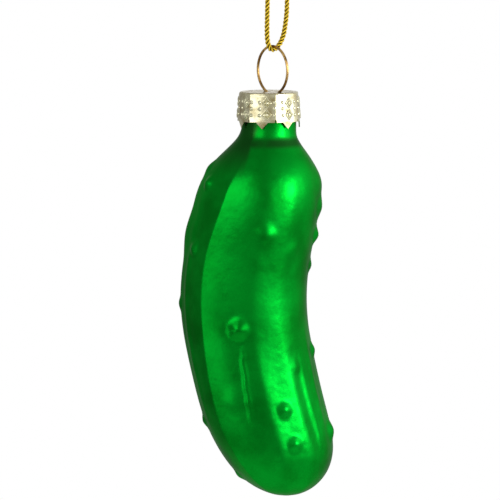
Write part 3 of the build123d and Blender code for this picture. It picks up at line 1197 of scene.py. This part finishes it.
def cover_ply(mesh, rings, frames, uv):
    """Faces over a ply's rings and ends, with a UV map round and along it."""
    for i in range(len(rings) - 1):
        for k in range(PLY_SIDES):
            after = (k + 1) % PLY_SIDES
            face = mesh.faces.new((rings[i][k], rings[i][after], rings[i + 1][after], rings[i + 1][k]))
            face.smooth = True
            corners = ((k, i), (k + 1, i), (k + 1, i + 1), (k, i + 1))
            for loop, (around, ring) in zip(face.loops, corners):
                loop[uv].uv = (around / PLY_SIDES, frames[ring][0] / UV_LENGTH)
    mesh.faces.new(reversed(rings[0]))
    mesh.faces.new(rings[-1])


def lay_cord(line, settings):
    """The plies twisted round each other along a line, as one piece."""
    frames = frames_along(line)
    mesh = bmesh.new()
    uv = mesh.loops.layers.uv.new("ply")
    for ply in range(PLIES):
        cover_ply(mesh, ply_rings(mesh, line, frames, ply, settings), frames, uv)
    bmesh.ops.recalc_face_normals(mesh, faces=mesh.faces)
    data = bpy.data.meshes.new("gold_cord")
    mesh.to_mesh(data)
    mesh.free()
    cord = bpy.data.objects.new("gold_cord", data)
    bpy.context.collection.objects.link(cord)
    return cord


class ORNAMENT_OT_cord(bpy.types.Operator):
    """Lay the twisted cord through the ring, with its knot and tails"""

    bl_idname = "ornament.cord"
    bl_label = "Gold cord"

    def execute(self, context):
        settings = context.scene.ornament_cord
        line = spline_line(cord_route(settings, context.scene.ornament_cap.turn))
        cord = lay_cord(line, settings)
        finish_piece(cord, gold_thread(settings), "cord", ["hanging_cord", "cord_knot"])
        return {"FINISHED"}


# Stage

# Lamps: name, the setting of the radiance, direction from the front towards +X and rise in degrees, distance,
# width and height in metres, and roll in degrees.
LAMPS = (
    ("key_lamp", "key_radiance", 59, 10, 0.78, (0.26, 0.25), 0),
    ("glow_lamp", "glow_radiance", 63, 10, 0.8, (1.02, 0.44), 0),
    ("fill_lamp", "fill_radiance", -44, 19, 0.8, (0.62, 0.5), 20),
    ("low_card", "card_radiance", -62, -17, 0.8, (0.5, 0.16), 0),
)

# The room's brightness: a base, then the height, start and end of each step along the sideways and the upward
# part of the direction. Between two values of the backward part it turns white behind the object.
WALL = (0.85, ((0.35, -0.8, -0.1), (0.4, 0.1, 0.5), (0.5, 0.62, 0.9)))
DIMMING = (0.78, ((0.32, -0.2, 0.1), (-0.2, 0.4, 0.8)))
BEHIND = (0.965, 0.995)
WHITE = (1.0, 1.0, 1.0)

NEAREST_SEEN = 10 * MM
FLOOR_RADIUS = 0.85
FLOOR_SIDES = 96


def from_front(turn, rise):
    """The direction at a turn from the front towards +X and a rise, in radians."""
    return Vector((math.sin(turn) * math.cos(rise), -math.cos(turn) * math.cos(rise), math.sin(rise)))


def soft_lamp(name, radiance, aim, azimuth, rise, distance, size, roll):
    """A soft rectangular lamp that shines at the aim."""
    away = from_front(math.radians(azimuth), math.radians(rise))
    rolled = Quaternion((0.0, 0.0, 1.0), math.radians(roll))
    deselect()
    bpy.ops.object.light_add(type="AREA", location=aim + away * distance)
    lamp = bpy.context.object
    lamp.name = name
    lamp.rotation_euler = (away.to_track_quat("Z", "Y") @ rolled).to_euler()
    lamp.data.shape = "RECTANGLE"
    lamp.data.size, lamp.data.size_y = size
    lamp.data.energy = radiance * math.pi * size[0] * size[1]
    lamp.visible_camera = False


def add_camera(settings):
    """The camera in front of the pickle, a little above it."""
    aim = Vector(settings.aim)
    away = from_front(0.0, settings.camera_rise)
    deselect()
    bpy.ops.object.camera_add(location=aim + away * settings.distance)
    camera = bpy.context.object
    camera.rotation_euler = away.to_track_quat("Z", "Y").to_euler()
    camera.data.sensor_fit = "HORIZONTAL"
    camera.data.angle = 2 * math.atan(settings.view_width / 2 / settings.distance)
    camera.data.clip_start = NEAREST_SEEN
    bpy.context.scene.camera = camera


def light_room(settings):
    """A dim room that is white to the camera, and white behind the object in reflections."""
    world = bpy.data.worlds.new("pale_room")
    bpy.context.scene.world = world
    world.use_nodes = True
    finish = Finish(world.node_tree)
    direction = finish.node("ShaderNodeTexCoord", output="Generated")
    wall = finish.stepped(finish.part(direction, "X"), *WALL)
    dimming = finish.stepped(finish.part(direction, "Z"), *DIMMING)
    behind = finish.between(finish.part(direction, "Y"), *BEHIND)
    camera = finish.node("ShaderNodeLightPath", output="Is Camera Ray")
    glossy = finish.node("ShaderNodeLightPath", output="Is Glossy Ray")
    strength = settings.room * wall * dimming
    room = finish.node("ShaderNodeBackground", sockets={"Color": WHITE, "Strength": strength})
    white = finish.node("ShaderNodeBackground", sockets={"Color": WHITE, "Strength": 1.0})
    shader = finish.node("ShaderNodeMixShader", sockets={0: camera + glossy * behind, 1: room, 2: white})
    finish.show(shader, "ShaderNodeOutputWorld")


def lay_floor(settings):
    """A pale floor well under the hanging ornament."""
    deselect()
    place = (0.0, 0.0, settings.floor_height)
    bpy.ops.mesh.primitive_circle_add(
        vertices=FLOOR_SIDES, radius=FLOOR_RADIUS, fill_type="NGON", location=place
    )
    floor = bpy.context.object
    floor.name = "floor"
    keep_place()
    floor.data.materials.append(pale_floor())


class ORNAMENT_OT_stage(bpy.types.Operator):
    """Set up the camera, the floor, the lamps and the room"""

    bl_idname = "ornament.stage"
    bl_label = "Stage"

    def execute(self, context):
        settings = context.scene.ornament_stage
        aim = Vector(settings.aim)
        add_camera(settings)
        light_room(settings)
        lay_floor(settings)
        for name, radiance, *place in LAMPS:
            soft_lamp(name, getattr(settings, radiance), aim, *place)
        context.scene.view_settings.view_transform = "Standard"
        return {"FINISHED"}


# Sidebar and registration

PIECE_OPERATORS = (
    ORNAMENT_OT_stage,
    ORNAMENT_OT_cord,
    ORNAMENT_OT_hanger,
    ORNAMENT_OT_cap,
    ORNAMENT_OT_glass,
)


class ORNAMENT_PT_sidebar(bpy.types.Panel):
    """Buttons and settings of the ornament"""

    bl_label = "Pickle ornament"
    bl_space_type = "VIEW_3D"
    bl_region_type = "UI"
    bl_category = "Ornament"

    def draw(self, context):
        for operator in PIECE_OPERATORS:
            self.layout.operator(operator.bl_idname)
        for key, group in SETTINGS.items():
            box = self.layout.box()
            for name in group.__annotations__:
                box.prop(getattr(context.scene, key), name)


CLASSES = (*SETTINGS.values(), *PIECE_OPERATORS, ORNAMENT_PT_sidebar)


def register():
    """Add the settings, the operators and the panel."""
    for each in CLASSES:
        bpy.utils.register_class(each)
    for key, group in SETTINGS.items():
        setattr(bpy.types.Scene, key, bpy.props.PointerProperty(type=group))


def unregister():
    """Take them away again."""
    for key in SETTINGS:
        delattr(bpy.types.Scene, key)
    for each in reversed(CLASSES):
        bpy.utils.unregister_class(each)


def main():
    """Register everything and make the pieces in order."""
    register()
    bpy.ops.ornament.stage()
    bpy.ops.ornament.cord()
    bpy.ops.ornament.hanger()
    bpy.ops.ornament.cap()
    bpy.ops.ornament.glass()


if __name__ == "__main__":
    main()
